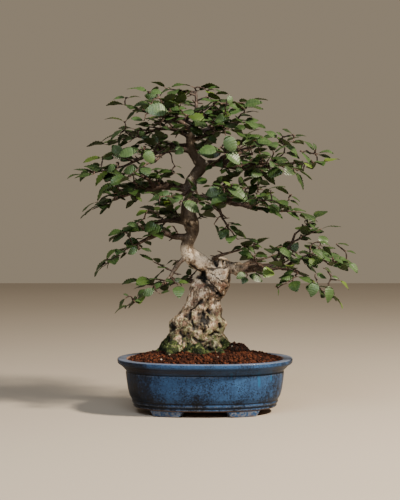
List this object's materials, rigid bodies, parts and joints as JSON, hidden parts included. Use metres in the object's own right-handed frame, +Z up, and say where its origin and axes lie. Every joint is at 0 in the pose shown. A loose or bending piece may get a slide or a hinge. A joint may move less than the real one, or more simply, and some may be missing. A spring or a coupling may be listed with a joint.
{
  "type": "korean hornbeam bonsai",
  "caption": "Small leaning hornbeam with a gnarled trunk and open leafy pads, standing in coarse soil in an oval glazed pot on four bracket feet.",
  "frame": {"origin": "under the middle of the whole object's box, on the plane that the feet stand on", "axes": "+Z up, +X to the viewer's right along the pot's length, the show side faces -Y"},
  "size_m": [0.3926, 0.226, 0.4491],
  "materials": {
    "glaze": "mottled blue gloss glaze on brown stoneware, thin and brown at the edges",
    "soil": "matt baked clay grains, red-brown with a few pale bits",
    "bark": "pale grey pitted bark with moss and lichen low down, red-brown on thin twigs",
    "leaf": "satin green living leaf, paler below, with straight side veins",
    "net": "matt black plastic net"
  },
  "bodies": {
    "root": {"pot": "glaze", "drain_net_left": "net", "drain_net_right": "net", "soil": "soil", "trunk_and_limbs": "bark", "spray_low_right_up_1": "leaf", "spray_low_right_up_2": "leaf", "spray_low_right_out_1": "leaf", "spray_low_right_out_2": "leaf", "spray_low_right_out_3": "leaf", "spray_low_right_low_1": "leaf", "spray_low_right_low_2": "leaf", "spray_low_right_near_1": "leaf", "spray_low_right_rear_1": "leaf", "spray_inner_1": "leaf", "spray_low_left_near_1": "leaf", "spray_low_left_near_2": "leaf", "spray_low_left_far_1": "leaf", "spray_middle_left_low_1": "leaf", "spray_middle_left_low_2": "leaf", "spray_middle_left_back_1": "leaf", "spray_middle_left_back_2": "leaf", "spray_middle_left_1": "leaf", "spray_middle_left_2": "leaf", "spray_middle_left_3": "leaf", "spray_middle_left_up_1": "leaf", "spray_middle_left_up_2": "leaf", "spray_middle_left_rear_1": "leaf", "spray_upper_left_1": "leaf", "spray_upper_left_2": "leaf", "spray_upper_left_near_1": "leaf", "spray_upper_left_rear_1": "leaf", "spray_top_left_1": "leaf", "spray_top_left_2": "leaf", "spray_top_left_near_1": "leaf", "spray_top_left_near_2": "leaf", "spray_top_left_rear_1": "leaf", "spray_apex_1": "leaf", "spray_apex_rear_1": "leaf", "spray_apex_near_1": "leaf", "spray_top_right_up_1": "leaf", "spray_top_right_1": "leaf", "spray_top_right_2": "leaf", "spray_top_right_rear_1": "leaf", "spray_upper_right_1": "leaf", "spray_upper_right_2": "leaf", "spray_upper_right_up_1": "leaf", "spray_upper_right_up_2": "leaf", "spray_upper_right_rear_1": "leaf", "spray_upper_right_near_1": "leaf", "spray_middle_right_1": "leaf", "spray_middle_right_2": "leaf", "spray_middle_right_up_1": "leaf", "spray_middle_right_low_1": "leaf", "spray_middle_right_near_1": "leaf", "spray_middle_right_near_2": "leaf", "spray_middle_right_rear_1": "leaf", "spray_rear_low_1": "leaf", "spray_rear_high_1": "leaf", "spray_near_middle_1": "leaf"}
  },
  "joints": []
}
